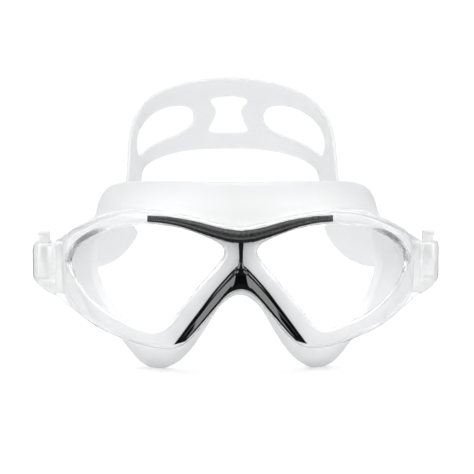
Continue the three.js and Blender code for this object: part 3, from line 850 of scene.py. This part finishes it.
def retainer():
    inset = -(FRAME_WALL + GAP + SKIRT_WALL + GAP)
    front, back = RETAINER_FRONT, RETAINER_FRONT + RETAINER_THICK
    edge, rebate = 0.3, 0.8  # its turned edges, and how far its holes stand outside the windows
    outer = [(inset - edge, front), (inset, front + edge), (inset, back - edge), (inset - edge, back)]
    hole = [(rebate + edge, front), (rebate, front + edge), (rebate, back - edge),
            (rebate + edge, back)]
    rings = [ring_on_front(rim_line, rim_out, by, depth) for by, depth in outer]
    body = front_body(rings, hole, [window_right, window_left])
    settle(body.shape("clear_retainer", CLEAR, 50), "mask", "clear_shell", "retainer_frame")


def lenses():
    front, back = LENS_SEAT + 0.15, LENS_BACK - 0.1
    profile = [((2.2, 1.0), front), ((2.5, 1.2), front + 0.15), ((2.5, 2.3), back - 0.35),
               ((2.3, 2.15), back)]
    for side, line in (("right", window_right), ("left", window_left)):
        normals = outwards(line)
        rings = [ring_on_front(line, normals, by, depth) for by, depth in profile]
        pane = front_body(rings, [], []).shape("lens_pane_" + side, LENS, 50)
        settle(pane, "mask", "lens", "lens_" + side)


# ---- trims ----
def across_front(curve, xs):
    """z of a half outline given as (x, z) at each |x|."""
    line = open_curve(curve, 400)
    return np.interp(np.abs(xs), line[:, 0], line[:, 1])


def brow_trim():
    """A crowned satin band with square ends and fine upright ribs along its upper half."""
    back, proud, square = 0.6, 0.15, 0.5  # its rear face, its thinnest place, and its end edges
    pitch, deep = 1.1, 0.4  # its ribs
    least, most = math.radians(24), math.radians(48)  # how far its two edges turn away
    xs = np.linspace(-BROW_HALF, BROW_HALF, 861)
    top, low = across_front(BROW_TOP, xs), across_front(BROW_LOW, xs)
    shares = np.concatenate([[0, 0, 0.03, 0.09], np.linspace(0.16, 0.84, 14), [0.91, 0.97, 1, 1]])
    lines = []
    for i, share in enumerate(shares):
        z = low + (top - low) * share
        sine = share * math.sin(most) - (1 - share) * math.sin(least)
        crown = (1 - sine ** 2) ** 0.5 - math.cos(most)
        crown = (top - low) * crown / (math.sin(most) + math.sin(least)) + 0.25
        crown *= min(1, 0.35 + share / 0.08)
        ribbed = np.clip((share - 0.3) / 0.2, 0, 1) * np.clip((1 - share) / 0.04, 0, 1)
        rib = deep * (0.5 + 0.5 * np.cos(2 * math.pi * xs / pitch)) * ribbed
        taper = np.clip((BROW_HALF - np.abs(xs)) / square, 0, 1) ** 0.5
        depth = -(crown * (0.55 + 0.45 * taper)) - proud + rib
        if i in (0, len(shares) - 1):
            depth = np.full_like(xs, back)
        lines.append(on_front(np.stack([xs, z], axis=1), depth))
    piece = lengthwise("ribbed_brow_trim", lines, SATIN, 40)
    settle(piece, "mask", "satin_black", "brow_trim")


# Across a leg from its upper to its lower edge: share, then how proud on the leg and in the middle.
LEG_SECTION = [
    (0, -0.6, -0.6), (0, 0.2, 0.3), (0.03, 0.55, 0.6), (0.08, 0.85, 0.75), (0.14, 1.1, 0.85),
    (0.19, 1.32, 0.92), (0.23, 1.38, 1), (0.27, 1.2, 1.05), (0.3, 1.03, 1.1), (0.34, 1, 1.15),
    (0.38, 1.05, 1.2), (0.5, 1.2, 1.34), (0.68, 1.42, 1.53), (0.84, 1.6, 1.65), (0.92, 1.55, 1.6),
    (0.965, 1.1, 1.3), (0.99, 0.6, 0.8), (1, 0.1, 0.2), (1, -0.6, -0.6),
]


def leg_lines():
    """Lines along the trim's arch, from the left leg's end over the bridge to the right one's."""
    count = 181
    bridge, change, tip = 0.16, 0.12, 0.05  # shares of the half length, from the middle and the end
    upper = open_curve(whole_open(LEG_UPPER), count)
    lower = open_curve(whole_open(LEG_LOWER), count)
    reach = np.abs(np.linspace(-1, 1, count))
    leg = np.clip((reach - bridge) / change, 0, 1)
    leg = leg * leg * (3 - 2 * leg)
    end = np.clip((1 - reach) / tip, 0, 1) ** 0.5
    lines = []
    for share, on_leg, in_middle in LEG_SECTION:
        proud = in_middle + (on_leg - in_middle) * leg
        depth = -proud * np.where(proud > 0, 0.1 + 0.9 * end, 1)
        lines.append(on_front(upper + (lower - upper) * share, depth))
    return lines


def whole_open(half):
    """Both halves of an open outline that starts on the centreline, from left to right."""
    return [(-x, z) for x, z in half[:0:-1]] + list(half)


def nose_trim():
    """Glossy arch over the nose with a crease along each leg, a stem and two short cross wings."""
    arch = lengthwise("arch", leg_lines(), GLOSS, 38)
    bars = [bar(half_widths, proud) for half_widths, proud in (NOSE_STEM, *NOSE_WINGS)]
    settle(join("glossy_nose_trim", [arch, *bars]), "mask", "gloss_black", "nose_trim")


def bar(half_widths, proud):
    """A bar on the centreline, given as (half width, z) from its top down, with rounded edges."""
    line = open_curve(half_widths, 24)
    half = [(1, -0.6), (1, proud - 0.35), (1, proud - 0.1), (0.86, proud)]  # share of width, height
    section = [(-share, height) for share, height in half] + [(0, proud + 0.08)] + half[::-1]
    lines = [upright(line * (share, 1), -height) for share, height in section]
    return lengthwise("bar", lines, GLOSS, 50)


# ---- skirt ----
def between(rings, steps):
    """Smooth rings through the given ones."""
    made = []
    for k in range(len(rings) - 1):
        p0, p1, p2, p3 = around(rings, k)
        for i in range(steps):
            t = i / steps
            made.append(0.5 * (2 * p1 + (p2 - p0) * t + (2 * p0 - 5 * p1 + 4 * p2 - p3) * t * t
                               + (3 * p1 - p0 - 3 * p2 + p3) * t ** 3))
    return made + [rings[-1]]


def skirt():
    outer = -(FRAME_WALL + GAP)
    inner = outer - SKIRT_WALL

    def on_rim(by, behind):
        return ring_on_front(rim_line, rim_out, by, behind)

    def on_seal(by, back):
        moved = seal_line + seal_out * by
        return np.stack([moved[:, 0], seal_depth + back, moved[:, 1]], axis=1)

    def bend(by):
        """Where the wall turns, between a place behind the rim and one before the seal."""
        behind_rim, before_seal, share = on_rim(by, 12), on_seal(by - outer, -6), 0.45
        return behind_rim + (before_seal - behind_rim) * share

    bead = [on_rim(outer - 0.4, BEAD_FRONT), on_rim(outer - 0.1, BEAD_FRONT + 0.1)]
    wall_out = between([on_rim(outer, BEAD_FRONT + 0.4), on_rim(outer, FRAME_DEPTH + 0.4),
                        bend(outer), on_seal(-0.2, -2.5), on_seal(0, -0.35)], 6)
    lip = [on_seal(-0.12, 0.0), on_seal(-0.5, 0.12), on_seal(-2.2, 0.45), on_seal(-4.4, 0.85),
           on_seal(-SEAL_LIP + 0.3, 1.15), on_seal(-SEAL_LIP, 0.95), on_seal(-SEAL_LIP, 0.5),
           on_seal(-SEAL_LIP + 0.3, 0.25)]
    wall_in = between([on_seal(-4.4, -0.35), on_seal(-2.2, -1.6), bend(inner),
                       on_rim(inner, FRAME_DEPTH + 0.4), on_rim(inner, BEAD_BACK + 0.4)], 6)
    bead_in = [on_rim(inner - 0.1, BEAD_BACK + 0.1), on_rim(inner - 0.4, BEAD_BACK)]
    hole = [(0.9, BEAD_FRONT), (0.5, BEAD_FRONT + 0.2), (0.4, BEAD_FRONT + 0.7),
            (0.4, BEAD_BACK - 0.7), (0.5, BEAD_BACK - 0.2), (0.9, BEAD_BACK)]
    rings = bead + wall_out + lip + wall_in + bead_in
    body = front_body(rings, hole, [window_right, window_left])
    settle(body.shape("silicone_skirt", SILICONE, 60), "mask", "silicone", "skirt")


# ---- strap ----
def strap_frames():
    """Centre, half height vector and outward normal along the right half of the strap.

    It runs from the middle of the pad to the buckle, round the post and back as the tail.
    """
    edges = []
    for edge in (0, 1):
        right = [np.array(station[edge], float) for station in STRAP]
        edges.append(right + [p * (-1, 1, 1) for p in right[-2::-1]])

    def both_edges(station):
        return open_at(edges[0], station), open_at(edges[1], station)

    def section(station):
        step = 0.02
        low, high = both_edges(station)
        ahead, behind = sum(both_edges(station + step)), sum(both_edges(max(station - step, 0)))
        normal = np.cross(ahead - behind, high - low)
        return (low + high) / 2, (high - low) / 2, normal / np.linalg.norm(normal)

    rows = [section(station) for station in np.linspace(len(STRAP) - 1, 0, 220)]
    radius = POST_RADIUS + GAP + BAND_THICK / 2
    for turn in np.linspace(0, math.pi, 17)[1:-1]:
        out = np.array([math.cos(turn), -math.sin(turn), 0])
        centre = out * radius + (POST_X, POST_Y, (BAND_LOW + BAND_HIGH) / 2)
        rows.append((centre, np.array([0, 0, (BAND_HIGH - BAND_LOW) / 2]), out))
    for station in np.linspace(0, TAIL_END, 50):
        centre, half, normal = section(station)
        apart = TAIL_GAP + (2 * radius - TAIL_GAP) * max(0, 1 - station / TAIL_MERGE) ** 2
        rows.append((centre - normal * apart, half, -normal))
    return rows


class Strap:
    """Turns flat places on the strap, in millimetres along and across, into space."""

    def __init__(self):
        rows = strap_frames()
        self.centre, self.half, self.normal = (np.array(column) for column in zip(*rows))
        steps = np.linalg.norm(np.diff(self.centre, axis=0), axis=1)
        self.along = np.concatenate([[0], np.cumsum(steps)])
        self.length = self.along[-1]
        self.width = np.linalg.norm(self.half, axis=1)

    def look_up(self, table, along):
        columns = [np.interp(np.abs(along), self.along, column) for column in table.T]
        return np.stack(columns, axis=1)

    def half_width(self, along):
        return np.interp(np.abs(along), self.along, self.width)

    def lift(self, flat, out):
        """The flat places in space, at a distance out from the strap's middle layer."""
        along, across = flat[:, 0], flat[:, 1]
        side = np.where(along < 0, -1, 1)[:, None] * (1, 0, 0) + (0, 1, 1)
        share = (across / self.half_width(along))[:, None]
        normal = self.look_up(self.normal, along)
        normal /= np.linalg.norm(normal, axis=1)[:, None]
        spot = self.look_up(self.centre, along) + self.look_up(self.half, along) * share
        return (spot + normal * out) * side


def strap_outline(strap):
    """The strap laid flat: its long edges, and tails with round corners."""
    corner, cut = 3.5, 0.98  # the tails' round corners, cut a little short of a full quarter
    ends = np.linspace(-strap.length, strap.length, 640)
    half = strap.half_width(ends)
    inset = np.clip(corner - (strap.length - np.abs(ends)), 0, corner)
    half = half - (corner - np.sqrt(corner ** 2 - inset ** 2)) * cut
    top = np.stack([ends, half], axis=1)
    return evenly(np.vstack([top, top[::-1] * (1, -1)]), 1500)


def side_hole(strap, side):
    """A long hole with squared round ends, as high as its share of the strap."""
    turns = np.linspace(0, 2 * math.pi, 140, endpoint=False)
    power = 2 / SIDE_HOLE["squareness"]
    wide, high = (np.sign(wave) * np.abs(wave) ** power for wave in (np.cos(turns), np.sin(turns)))
    middle = (SIDE_HOLE["from"] + SIDE_HOLE["to"]) / 2
    along = side * middle + wide * (SIDE_HOLE["to"] - SIDE_HOLE["from"]) / 2
    across = high * SIDE_HOLE["height"] * strap.half_width(along)
    return evenly(np.stack([along, across], axis=1), 130)


def middle_hole(strap):
    height = strap.half_width(np.array([0.0]))[0]
    half = [(along, share * height) for along, share in MIDDLE_HOLE]
    outline = half + [(-along, across) for along, across in half[::-1]]
    return fair(evenly(closed_curve(outline, 600), 120), 0.4)


def head_strap():
    strap = Strap()
    face, edge, spacing = BAND_THICK / 2, 0.55, 2.6
    profile = [(edge, face), (edge * 0.3, face - edge * 0.3), (0, face - edge),
               (0, edge - face), (edge * 0.3, edge * 0.3 - face), (edge, -face)]
    holes = [middle_hole(strap), side_hole(strap, 1), side_hole(strap, -1)]
    body = Body()
    loops, flats = [[], []], [[], []]
    for k, line in enumerate([strap_outline(strap), *holes]):
        inwards = outwards(line) * (-1 if k == 0 else 1)
        flat = [line + inwards * by for by, _ in profile]
        ends = body.strips([strap.lift(f, out) for f, (_, out) in zip(flat, profile)])
        for side in (0, -1):
            loops[side].append(ends[side])
            flats[side].append(flat[side])
    for side, out in ((0, face), (1, -face)):
        body.fill(loops[side], flats[side], lambda spots: strap.lift(spots, out), spacing)
    piece = body.shape("silicone_strap", SILICONE, 60)
    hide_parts("strap_back", "strap_band_left", "strap_band_right")
    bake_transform(piece)


# ---- buckles, built on the right and mirrored ----
# The outer wall from above as x, y, its lower and upper edges as y, z, and the front as x, z.
BUCKLE_PLAN = [
    (BUCKLE_INNER, 29.5), (90, 31), (94, 35.5), (97.4, 41), (99.5, 47), (100.2, 53),
    (100.2, BUCKLE_REAR),
]
LOW_SIDE = [(29.4, -9.6), (31, -12), (35, -11.9), (40, -10.4), (46, -8.3), (51, -7.3), (58.2, -7.3)]
HIGH_SIDE = [(29.4, 10.6), (30, 11.6), (31, 12.2), (33, 12.7), (58.2, 12.7)]
BUCKLE_FRONT = [
    (80, -14), (88, -12.2), (92, -10.4), (96.5, -7.8), (99.2, -5.4), (100.4, -2.6), (100.5, 7.5),
    (98.2, 13.2), (80, 13.2),
]


def trimmed(piece):
    """The piece cut to the buckle's outline as seen from the front."""
    outline = np.array(rounded(BUCKLE_FRONT, 2.2, 7))
    tool = solid("outline", [upright(outline, y) for y in (20.0, 70.0)], CLEAR)
    return boolean(piece, tool, "INTERSECT")


def low_side(y):
    line = open_curve(LOW_SIDE, 200)
    return np.interp(y, line[:, 0], line[:, 1])


def high_side(y):
    return np.interp(y, *zip(*HIGH_SIDE))


def buckle_cover():
    """The curved outer wall, a thin shell with rounded upper and lower edges."""
    line = evenly(open_curve(BUCKLE_PLAN, 300), 70, closed=False)
    along = np.gradient(line, axis=0)
    normal = np.stack([along[:, 1], -along[:, 0]], axis=1)
    normal /= np.linalg.norm(normal, axis=1)[:, None]
    low, high = low_side(line[:, 1]), high_side(line[:, 1])
    edge, inner_edge = 0.7, 0.25
    # Half the section: how far in from the outer face, and how far from the wall's own edge.
    half = [(edge * (1 - math.cos(turn)), edge * (1 - math.sin(turn)))
            for turn in np.linspace(0, math.pi / 2, 6)]
    half += [(COVER_WALL - inner_edge, 0), (COVER_WALL, inner_edge)]
    lines = [np.column_stack([line - normal * inward, high - drop]) for inward, drop in half]
    lines += [np.column_stack([line - normal * inward, low + rise]) for inward, rise in half[::-1]]
    return trimmed(lengthwise("cover_right", lines, FROSTED, 45))


def buckle_base():
    """A channel with cheek, roof and floor, its edges rounded, holed for the pin and the post."""
    ys = np.concatenate([np.linspace(31.2, 40, 16), np.linspace(41, BUCKLE_REAR, 18)])
    plan = open_curve(BUCKLE_PLAN, 300)
    outer = np.interp(ys, plan[:, 1], plan[:, 0]) - COVER_WALL - GAP
    inner, least, inset = BUCKLE_INNER + CHEEK, 0.6, 0.05
    rings = []
    for y, far in zip(ys, outer):
        low, high = low_side(y) + inset, high_side(y) - inset
        far = max(far, inner + least)
        corners = [(BUCKLE_INNER, low), (far, low), (far, ROOM_LOW), (inner, ROOM_LOW),
                   (inner, ROOM_HIGH), (far, ROOM_HIGH), (far, high), (BUCKLE_INNER, high)]
        rings.append([(x, y, z) for x, z in rounded(corners, 0.45)])
    base = trimmed(solid("base_right", rings, FROSTED))
    pin_hole = rod(PIN_RADIUS + GAP, (80, *HINGE), (95, *HINGE))
    boolean(base, pin_hole, "DIFFERENCE")
    low, high = (POST_X, POST_Y, POST_LOW - GAP), (POST_X, POST_Y, POST_HIGH + GAP)
    return boolean(base, rod(POST_RADIUS + GAP, low, high), "DIFFERENCE")


def release_button():
    pad = block(*BUTTON_PAD, 0.5, dish=0.1)
    stems = [block(*box, 0.25) for box in (BUTTON_STEM, *BUTTON_LEGS)]
    return join("button_right", [pad, *stems])


def pivot_pin():
    cheek = BUCKLE_INNER + CHEEK
    (head, head_face), (collar, collar_face) = PIN_HEAD, PIN_COLLAR
    parts = [(PIN_RADIUS, *PIN_ENDS, 0.2), (head, LUG_INNER - head_face, LUG_INNER - GAP, 0.3),
             (collar, cheek + GAP, cheek + collar_face, 0.4)]
    return join("pin_right", [rod(radius, (start, *HINGE), (end, *HINGE), edge=edge)
                              for radius, start, end, edge in parts])


def strap_post():
    return rod(POST_RADIUS, (POST_X, POST_Y, POST_LOW), (POST_X, POST_Y, POST_HIGH), edge=0.3)


def buckles():
    makers = (
        ("buckle_base", "snap_base", buckle_base, "buckles", "clear_shell"),
        ("buckle_cover", "snap_cover", buckle_cover, "buckles", "clear_shell"),
        ("strap_post", "round_post", strap_post, "buckles", "clear_shell"),
        ("pivot_pin", "snap_pin", pivot_pin, "mask", "clear_shell"),
        ("release_button", "push_tab", release_button, "button", "milky_plastic"),
    )
    for node, name, make, body, slot in makers:
        right = finish_again(make(), name + "_right", 40)
        left = mirrored(right, name + "_left")
        for side, piece in (("right", right), ("left", left)):
            rides = body + "_" + side if body == "button" else body
            settle(piece, rides, slot, node + "_" + side)


camera()
studio()
floor()
front_frame()
retainer()
lenses()
brow_trim()
nose_trim()
skirt()
head_strap()
buckles()
bpy.context.scene.view_settings.view_transform = "Standard"
